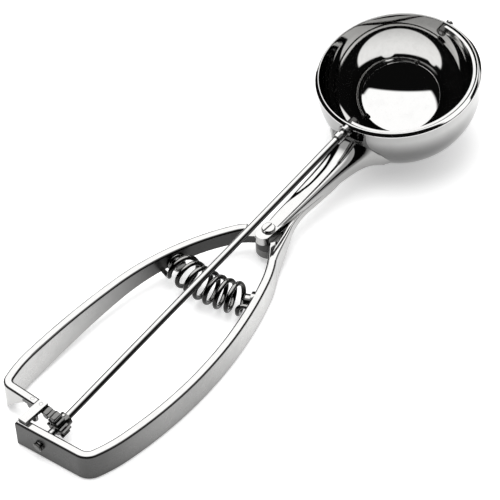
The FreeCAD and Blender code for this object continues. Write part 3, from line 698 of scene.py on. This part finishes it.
def between(keys: tuple[tuple[float, ...], ...], place: float) -> tuple[float, ...]:
    """Reads a smooth curve through keyed rows.

    Args:
        keys: rows whose first value is the place and whose others are read there.
        place: where to read.

    Returns:
        The other values at that place.
    """
    if place <= keys[0][0]:
        return keys[0][1:]
    if place > keys[-1][0]:
        return keys[-1][1:]
    index = next(number for number in range(len(keys) - 1) if place <= keys[number + 1][0])
    low, high = keys[index], keys[index + 1]
    before = keys[max(index - 1, 0)]
    after = keys[min(index + 2, len(keys) - 1)]
    span = high[0] - low[0]
    share = (place - low[0]) / span
    square, cube = share * share, share * share * share
    values = []
    for column in range(1, len(low)):
        rise_in = (high[column] - before[column]) / (high[0] - before[0]) * span
        rise_out = (after[column] - low[column]) / (after[0] - low[0]) * span
        values.append(
            (2 * cube - 3 * square + 1) * low[column]
            + (cube - 2 * square + share) * rise_in
            + (3 * square - 2 * cube) * high[column]
            + (cube - square) * rise_out
        )
    return tuple(values)


def skin(name: str, rows: list[list[Vector]], ends: tuple[Vector, Vector]) -> bpy.types.Object:
    """Closes a run of rings into one skin.

    Args:
        name: the piece's name.
        rows: rings of equal length, in millimetres.
        ends: the middle point of the cap at each end.

    Returns:
        The piece, smooth and in metres.
    """
    mesh = bpy.data.meshes.new(name)
    work = bmesh.new()
    made = [[work.verts.new(point * MM) for point in row] for row in rows]
    caps = [work.verts.new(point * MM) for point in ends]
    count = len(rows[0])
    for step in range(count):
        after = (step + 1) % count
        for low, high in zip(made, made[1:]):
            work.faces.new((low[step], low[after], high[after], high[step]))
        work.faces.new((caps[0], made[0][after], made[0][step]))
        work.faces.new((caps[1], made[-1][step], made[-1][after]))
    bmesh.ops.recalc_face_normals(work, faces=work.faces)
    work.to_mesh(mesh)
    work.free()
    mesh.shade_smooth()
    return put(name, mesh)


@dataclass
class BowlWork(Assembly):
    """The bowl, what stands still in it, and the neck's tongue.

    Args:
        parts: the pieces that are finished copies of CAD nodes.
        centre: centre of the half ball, in millimetres.
        radius: radius outside, in millimetres.
        bore: radius inside, in millimetres.
        tilt: how far the rim leans back towards the handle, in degrees.
        lip: radius and height of each ring of the band over the half ball, with its ground lip, in
            millimetres from the centre.
        rings: rings of each half ball.
        around: corners of each ring.
    """

    parts: list[Part] = field(
        default_factory=lambda: [
            Part("far_pivot_pin", Body.FIXED, TURNED_STEEL, edge=0.12),
            Part("front_bush", Body.FIXED, TURNED_STEEL, edge=0.06),
            Part("neck", Body.FIXED, NECK_STEEL, edge=0.25, segments=3, cut_ahead=11.5),
        ]
    )
    centre: tuple[float, float, float] = BOWL_CENTRE
    radius: float = 26.4
    bore: float = 25.0
    tilt: float = 7.9
    lip: tuple[tuple[float, float], ...] = (
        (26.4, 1.5),
        (26.4, 2.5),
        (26.4, 2.8),
        (26.37, 2.94),
        (26.28, 3.05),
        (26.1, 3.2),
        (25.9, 3.37),
        (25.68, 3.55),
        (25.5, 3.69),
        (25.4, 3.755),
        (25.3, 3.79),
        (25.2, 3.8),
        (25.1, 3.775),
        (25.035, 3.7),
        (25.005, 3.58),
        (25.0, 3.3),
        (25.0, 2.6),
        (25.0, 1.5),
    )
    rings: int = 72
    around: int = 288

    def build(self, frame: dict[str, Any], finishes: Finishes) -> None:
        """Builds the pieces that stand in the bowl, and then the bowl.

        Args:
            finishes: the shared materials.
        """
        super().build(frame, finishes)
        dress(self.shell(), finishes.get(BOWL_STEEL), Body.FIXED, "bowl")

    def profile(self) -> list[tuple[float, float]]:
        """Half section of the shell.

        Returns:
            Radius and height of each ring, from the outer pole over the lip to the inner pole.
        """
        angles = [math.radians(90.0 * step / self.rings) for step in range(1, self.rings + 1)]
        outside = [(self.radius * math.sin(angle), -self.radius * math.cos(angle)) for angle in angles]
        inside = [(self.bore * math.sin(angle), -self.bore * math.cos(angle)) for angle in reversed(angles)]
        return outside + list(self.lip) + inside

    def shell(self) -> bpy.types.Object:
        """Spins the shell.

        Returns:
            The shell, not yet dressed.
        """
        stand = Matrix.Translation(self.centre) @ Matrix.Rotation(math.radians(-self.tilt), 4, "Y")
        angles = turns(self.around)
        rows = [
            [stand @ Vector((radius * math.cos(angle), radius * math.sin(angle), height)) for angle in angles]
            for radius, height in self.profile()
        ]
        outer_pole, inner_pole = (stand @ Vector((0.0, 0.0, -depth)) for depth in (self.radius, self.bore))
        return skin("bowl_shell", rows, (outer_pole, inner_pole))


@dataclass
class NeckWork:
    """The forged arm between hinge and bowl, with the rib that carries the fixed strip along it.

    Sizes are in millimetres, and places are ahead of the middle.

    Args:
        start: where the arm begins.
        finish: where its middle line ends, inside the bowl's wall.
        half_width: half of its width at the start and how much it gains.
        half_depth: half of its depth at the start and how much it gains.
        height: height of its middle line at the start and at the end.
        even: share of that gain which comes evenly, the rest coming in the flare.
        flare: power of the arm's length with which the flare comes.
        squareness: power of the section's outline at the start and how much it loses.
        squareness_span: shares of the length between which it loses that.
        groove: rows of place, side and depth of the long curved groove in its top.
        groove_wall: half of the width over which the groove's side falls.
        groove_edge: sine of the angle round the section at which the groove is at its full depth.
        rib: rows of place, side, half thickness, top and foot of the rib.
        rib_powers: powers that square the rib's section across and upwards.
        probe: distance over which the rib's direction is read.
        bowl_centre: centre of the bowl's half ball.
        bowl_reach: distance from there at which the arm ends, inside the wall.
        fillet: how much the arm grows where it meets the bowl, over what length, and how much less
            below.
        below: sines of the angle round the section between which it comes to grow less.
        rings: rings along the arm.
        around: corners of each ring.
        rib_rings: rings along the rib.
        rib_around: corners of each ring of the rib.
        halvings: steps in which the arm's end is found.
    """

    start: float = 8.45
    finish: float = 56.45
    half_width: tuple[float, float] = (2.45, 6.75)
    half_depth: tuple[float, float] = (1.45, 6.35)
    height: tuple[float, float] = (9.95, 14.0)
    even: float = 0.45
    flare: int = 5
    squareness: tuple[float, float] = (4.6, 2.2)
    squareness_span: tuple[float, float] = (0.1, 0.95)
    groove: tuple[tuple[float, float, float], ...] = (
        (12.0, 3.0, 0.0),
        (17.0, 2.6, 0.25),
        (23.4, 1.3, 0.5),
        (28.4, 0.6, 0.6),
        (32.6, 0.7, 0.7),
        (36.0, 0.9, 0.7),
        (39.4, 1.5, 0.6),
        (42.9, 2.0, 0.4),
        (47.0, 2.2, 0.0),
    )
    groove_wall: float = 0.9
    groove_edge: float = 0.5
    rib: tuple[tuple[float, float, float, float, float], ...] = (
        (-7.0, -11.12, 1.38, 9.96, 0.35),
        (-5.15, -10.18, 1.42, 9.98, 0.3),
        (-3.5, -9.24, 1.44, 10.0, 0.3),
        (-1.0, -7.95, 1.42, 10.0, 0.4),
        (1.5, -6.95, 1.35, 10.02, 0.8),
        (5.0, -5.95, 1.1, 10.1, 2.4),
        (9.0, -4.85, 0.85, 10.3, 4.6),
        (13.0, -3.6, 0.72, 10.6, 6.6),
        (17.0, -2.95, 0.66, 10.8, 7.8),
        (21.0, -2.8, 0.62, 10.9, 8.4),
        (28.0, -3.2, 0.56, 11.1, 8.9),
        (34.0, -3.5, 0.48, 11.3, 9.4),
        (38.0, -3.5, 0.4, 11.4, 10.0),
    )
    rib_powers: tuple[float, float] = (0.5, 0.16)
    probe: float = 0.05
    bowl_centre: tuple[float, float, float] = BOWL_CENTRE
    bowl_reach: float = 26.2
    fillet: tuple[float, float, float] = (0.55, 2.6, 0.35)
    below: tuple[float, float] = (0.1, -0.9)
    rings: int = 160
    around: int = 96
    rib_rings: int = 110
    rib_around: int = 40
    halvings: int = 40

    def build(self, finishes: Finishes) -> None:
        """Builds the arm and the rib."""
        for piece in (self.arm(), self.side_rib()):
            dress(piece, finishes.get(NECK_STEEL), Body.FIXED, "neck")

    def surface(self, place: float, angle: float) -> Vector:
        """Point of the arm's skin.

        Args:
            place: distance ahead of the middle.
            angle: angle round the section, from the lever's side over the top.

        Returns:
            The point, in millimetres.
        """
        share = (place - self.start) / (self.finish - self.start)
        swell = self.even * share + (1.0 - self.even) * share**self.flare
        wide = self.half_width[0] + self.half_width[1] * swell
        deep = self.half_depth[0] + self.half_depth[1] * swell
        middle = self.height[0] + (self.height[1] - self.height[0]) * share
        power = 2.0 / (self.squareness[0] - self.squareness[1] * ease(*self.squareness_span, share))
        across, up = math.cos(angle), math.sin(angle)
        side, rise = wide * squared(across, power), deep * squared(up, power)
        if up > 0.0:
            line, depth = between(self.groove, place)
            fall = ease(-self.groove_wall, self.groove_wall, side - line)
            rise -= depth * fall * ease(0.0, self.groove_edge, up)
        bare = Vector((place, side, middle + rise))
        gap = (bare - Vector(self.bowl_centre)).length - self.bowl_reach
        gain, length, loss = self.fillet
        grow = 1.0 + (gain - loss * ease(*self.below, up)) * math.exp(-max(gap, 0.0) / length)
        return Vector((place, side * grow, middle + rise * grow))

    def reach(self, angle: float) -> float:
        """Finds where the skin meets the inside of the bowl's wall.

        Args:
            angle: angle round the section.

        Returns:
            The place, in millimetres ahead of the middle.
        """
        low, high = self.start, self.finish
        centre = Vector(self.bowl_centre)
        for _ in range(self.halvings):
            guess = (low + high) / 2.0
            if (self.surface(guess, angle) - centre).length > self.bowl_reach:
                low = guess
            else:
                high = guess
        return low

    def arm(self) -> bpy.types.Object:
        """Builds the arm.

        Returns:
            The arm, not yet dressed.
        """
        runs = [(angle, self.reach(angle) - self.start) for angle in turns(self.around, 0.5)]
        rows = []
        for ring in range(self.rings + 1):
            share = ring / self.rings
            rows.append([self.surface(self.start + length * share, angle) for angle, length in runs])
        centre = Vector(self.bowl_centre)
        last = sum(rows[-1], Vector()) / self.around
        last = centre + (last - centre).normalized() * self.bowl_reach
        return skin("neck_arm", rows, (Vector((self.start, 0.0, self.height[0])), last))

    def side_rib(self) -> bpy.types.Object:
        """Builds the rib that runs on from the fixed strip along the arm.

        Returns:
            The rib, not yet dressed.
        """
        rows = []
        first, last = self.rib[0][0], self.rib[-1][0]
        for ring in range(self.rib_rings + 1):
            place = first + (last - first) * ring / self.rib_rings
            side, half, top, foot = between(self.rib, place)
            drift = between(self.rib, place + self.probe)[0] - between(self.rib, place - self.probe)[0]
            along = Vector((2.0 * self.probe, drift, 0.0)).normalized()
            out = Vector((along.y, -along.x, 0.0))
            middle, reach = (top + foot) / 2.0, (top - foot) / 2.0
            row = []
            for angle in turns(self.rib_around, 0.5):
                wide = half * squared(math.cos(angle), self.rib_powers[0])
                high = middle + reach * squared(math.sin(angle), self.rib_powers[1])
                row.append(Vector((place, side, high)) + out * wide)
            rows.append(row)
        near_end, far_end = (sum(row, Vector()) / len(row) for row in (rows[0], rows[-1]))
        return skin("neck_side_rib", rows, (near_end, far_end))


@dataclass
class HandleWork(Assembly):
    """The fixed handle, the hinge and the lever.

    Args:
        parts: the pieces, all finished copies of CAD nodes.
    """

    parts: list[Part] = field(
        default_factory=lambda: [
            Part("fixed_handle", Body.FIXED, FIXED_STEEL, edge=0.45, segments=3),
            Part("lever_handle", Body.LEVER, LEVER_STEEL, edge=0.45, segments=3),
            Part("hinge_screw", Body.FIXED, TURNED_STEEL, edge=0.12),
            Part("hinge_nut", Body.FIXED, TURNED_STEEL, edge=0.12),
            Part("rear_bush", Body.FIXED, TURNED_STEEL, edge=0.06),
            Part("fixed_spring_seat", Body.FIXED, TURNED_STEEL, edge=0.2),
            Part("lever_spring_seat", Body.LEVER, TURNED_STEEL, edge=0.2),
            Part("slide_block", Body.LEVER, FIXED_STEEL, edge=0.15),
            Part("guide_stud", Body.LEVER, TURNED_STEEL, edge=0.1),
        ]
    )


@dataclass
class DriveWork(Assembly):
    """The rack on the lever and the rod with its pinion, collars and scraper.

    Args:
        parts: the pieces, all finished copies of CAD nodes.
    """

    parts: list[Part] = field(
        default_factory=lambda: [
            Part("rack", Body.LEVER, DRIVE_STEEL, edge=0.05, meshing=True),
            Part("rack_rivets", Body.LEVER, TURNED_STEEL, edge=0.1),
            Part("pinion", Body.ROD, DRIVE_STEEL, edge=0.05, meshing=True),
            Part("pinion_pin", Body.ROD, TURNED_STEEL, edge=0.05),
            Part("thrust_washer", Body.ROD, DARK_STEEL, edge=0.06),
            Part("rod_end_head", Body.ROD, DARK_STEEL, Slot.DARK, edge=0.25, segments=3),
            Part("rod", Body.ROD, ROD_STEEL, edge=0.12),
            Part("front_collar", Body.ROD, TURNED_STEEL, edge=0.12),
            Part("scraper_hub", Body.ROD, DARK_STEEL, edge=0.12),
            Part("scraper_far_boss", Body.ROD, DARK_STEEL, edge=0.12),
            Part("scraper", Body.ROD, STRIP_STEEL, edge=0.12),
        ]
    )


@dataclass
class SpringWork:
    """The coil spring between its two seats, which gives way as the lever closes; here it is copied in its
    rest shape.

    Args:
        node: the spring's CAD node.
        fixed_seat: node of its seat on the fixed handle; not used.
        lever_seat: node of its seat on the lever; not used.
    """

    node: str = "spring"
    fixed_seat: str = "fixed_spring_seat"
    lever_seat: str = "lever_spring_seat"

    def build(self, frame: dict[str, Any], finishes: Finishes) -> None:
        """Copies the coil where it stands and gives it its steel.

        Args:
            finishes: the shared materials.
        """
        mesh = frame["nodes"][self.node].data.copy()
        coil = put("coil_spring", mesh)
        mesh.materials.clear()
        mesh.materials.append(finishes.get(WIRE_STEEL))
        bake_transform(coil)
        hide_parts(self.node)
        LOG.info("built %s between body and lever", coil.name)


@dataclass(frozen=True)
class Patch:
    """A round lit area of the tent.

    Args:
        towards: bearing of its middle from +X towards +Y, in degrees.
        height: its middle's height over the horizon, in degrees.
        reach: half of its angle, in degrees.
        blur: width of its edge, in degrees.
    """

    towards: float
    height: float
    reach: float
    blur: float

    def direction(self) -> Vector:
        """Unit vector to the patch's middle."""
        turn, rise = math.radians(self.towards), math.radians(self.height)
        return Vector((math.cos(rise) * math.cos(turn), math.cos(rise) * math.sin(turn), math.sin(rise)))


@dataclass(frozen=True)
class Tent:
    """White light tent with a dark opening on the camera's side and dark walls low down.

    Args:
        level: brightness of the white cloth.
        dark: brightness of the dark room.
        opening: normal of the plane along which the cloth ends above the camera.
        opening_offset: distance of that plane from the scoop, as a share of the view's radius.
        skirt: sine of the height over the horizon at which the cloth begins.
        blur: half of the width of the cloth's edges.
        slit: sines of the heights between which light comes in under the cloth on the far side.
        slit_bearing: bearing of the middle of that slit, in degrees.
        slit_spread: cosines of the angles from there at which the slit begins and is fully open.
        slit_level: brightness of the slit, as a share of the cloth's.
        patches: places where the cloth hangs lower.
    """

    level: float = 1.25
    dark: float = 0.004
    opening: tuple[float, float, float] = (0.676, 0.465, 0.572)
    opening_offset: float = 0.062
    skirt: float = 0.6
    blur: float = 0.03
    slit: tuple[float, float] = (0.33, 0.43)
    slit_bearing: float = -20.0
    slit_spread: tuple[float, float] = (0.55, 0.8)
    slit_level: float = 0.7
    patches: tuple[Patch, ...] = (Patch(66.0, 42.0, 14.0, 3.0), Patch(-54.0, 42.0, 10.0, 3.0))

    def past(self, value: Shade, border: float) -> Shade:
        """A soft step from 0 to 1 as a value passes a border of the cloth."""
        return value.above(border - self.blur, border + self.blur)

    def brightness(self, graph: Graph) -> Shade:
        """Brightness of the tent in each direction.

        Args:
            graph: the world's node tree.

        Returns:
            The brightness, as a number over the directions.
        """
        direction = graph.node("ShaderNodeTexCoord", {}, {}, "Generated")
        height = graph.split(direction, "Z")

        def along(way: Vector) -> Shade:
            """Cosine between a direction and the one looked in."""
            vectors = {0: direction, 1: way}
            return graph.node("ShaderNodeVectorMath", {"operation": "DOT_PRODUCT"}, vectors, "Value")

        ahead = self.past(along(Vector(self.opening)), self.opening_offset)
        cloth = self.past(height, self.skirt)
        for patch in self.patches:
            outer = math.cos(math.radians(patch.reach + patch.blur / 2))
            inner = math.cos(math.radians(patch.reach - patch.blur / 2))
            mask = along(patch.direction()).above(outer, inner)
            cloth = cloth + mask * (1.0 - cloth)
        low, high = self.slit
        bearing = math.radians(self.slit_bearing)
        side = along(Vector((math.cos(bearing), math.sin(bearing), 0.0))).above(*self.slit_spread)
        slit = self.past(height, low) * (1.0 - self.past(height, high)) * side
        lit = cloth * ahead
        lit = lit + slit * (self.slit_level - lit * self.slit_level)
        return self.dark + lit * (self.level - self.dark)


@dataclass
class Studio:
    """Floor, light tent, key lamp and the camera at the photograph's viewpoint.

    Args:
        focal: focal length in pixels of the 500-pixel frame.
        bearing: direction the camera looks along, from +X towards +Y, in degrees.
        dip: how far it looks down, in degrees.
        roll: how far it is rolled, in degrees.
        aim: point that it looks at, in millimetres.
        distance: how far it stands from there, in millimetres.
        frame_pixels: side of the square picture.
        sensor: sensor width in millimetres.
        near_clip: distance from which the camera sees, in metres.
        floor_half: half of the floor's side, in metres.
        floor_drop: how far the floor lies under the scoop, in millimetres.
        floor_tone: share of the light that the floor gives back.
        floor_lift: brightness that the floor shows besides what falls on it.
        cloth: the light tent.
        lamp_place: where the key lamp hangs, in metres.
        lamp_width: its width, in metres.
        lamp_power: its power, in watts.
    """

    focal: float = 2600.0
    bearing: float = 42.62
    dip: float = 45.79
    roll: float = -3.32
    aim: tuple[float, float, float] = (-6.58, -3.76, 15.0)
    distance: float = 789.04
    frame_pixels: int = 500
    sensor: float = 36.0
    near_clip: float = 0.01
    floor_half: float = 3.0
    floor_drop: float = 0.05
    floor_tone: float = 0.9
    floor_lift: float = 0.48
    cloth: Tent = Tent()
    lamp_place: tuple[float, float, float] = (0.0, 0.07, 1.2)
    lamp_width: float = 0.9
    lamp_power: float = 6.5

    def build(self) -> None:
        """Sets up everything round the scoop."""
        bpy.context.scene.view_settings.view_transform = "Standard"
        self.camera()
        self.floor()
        self.tent()
        self.lamp()

    def camera(self) -> None:
        """Places the camera."""
        turn, lean, roll = (math.radians(angle) for angle in (self.bearing, self.dip, self.roll))
        forward = Vector((math.cos(lean) * math.cos(turn), math.cos(lean) * math.sin(turn), -math.sin(lean)))
        level = Vector((math.sin(turn), -math.cos(turn), 0.0))
        upright = level.cross(forward)
        right = level * math.cos(roll) + upright * math.sin(roll)
        above = upright * math.cos(roll) - level * math.sin(roll)
        eye = (Vector(self.aim) - forward * self.distance) * MM
        lens = bpy.data.cameras.new("camera")
        lens.sensor_width = self.sensor
        lens.lens = self.focal / self.frame_pixels * self.sensor
        lens.clip_start = self.near_clip
        camera = put("camera", lens)
        turned = Matrix((right, above, -forward)).transposed()
        camera.matrix_world = Matrix.Translation(eye) @ turned.to_4x4()
        bpy.context.scene.camera = camera
        LOG.info("camera at %s", tuple(round(value, 4) for value in eye))

    def floor(self) -> None:
        """Lays the pale floor, which shows white and keeps the scoop's shadow."""
        mesh = bpy.data.meshes.new("floor")
        half, level = self.floor_half, -self.floor_drop * MM
        corners = [(-half, -half, level), (half, -half, level), (half, half, level), (-half, half, level)]
        mesh.from_pydata(corners, [], [(0, 1, 2, 3)])
        floor = put("floor", mesh)
        material = bpy.data.materials.new("pale_floor")
        graph = Graph(material)
        tone = self.floor_tone
        matt = graph.node("ShaderNodeBsdfDiffuse", {}, {"Color": (tone, tone, tone, 1.0)})
        seen = graph.node("ShaderNodeLightPath", {}, {}, "Is Camera Ray")
        mirrored = graph.node("ShaderNodeLightPath", {}, {}, "Is Glossy Ray")
        lift = graph.node("ShaderNodeEmission", {}, {"Strength": (seen + mirrored) * self.floor_lift})
        graph.close(graph.node("ShaderNodeAddShader", {}, {0: matt, 1: lift}))
        mesh.materials.append(material)

    def tent(self) -> None:
        """Lights the world: white to the camera, and the tent's cloth to all else."""
        world = bpy.data.worlds.new("tent")
        bpy.context.scene.world = world
        graph = Graph(world)
        level = self.cloth.brightness(graph)
        seen = graph.node("ShaderNodeLightPath", {}, {}, "Is Camera Ray")
        level = level + seen * (1.0 - level)
        graph.close(graph.node("ShaderNodeBackground", {}, {"Color": level, "Strength": 1.0}))

    def lamp(self) -> None:
        """Hangs the key lamp that throws the soft shadow."""
        light = bpy.data.lights.new("key", "AREA")
        light.shape = "DISK"
        light.size = self.lamp_width
        light.energy = self.lamp_power
        lamp = put("key", light)
        place = Vector(self.lamp_place)
        lamp.location = place
        lamp.rotation_euler = (-place).to_track_quat("-Z", "Y").to_euler()
        lamp.visible_glossy = False


def main() -> None:
    """Loads the frame and builds each sub-assembly in order."""
    logging.basicConfig(level=logging.INFO, format="%(message)s")
    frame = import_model()
    finishes = Finishes()
    Studio().build()
    BowlWork().build(frame, finishes)
    NeckWork().build(finishes)
    HandleWork().build(frame, finishes)
    DriveWork().build(frame, finishes)
    SpringWork().build(frame, finishes)


if __name__ == "__main__":
    main()
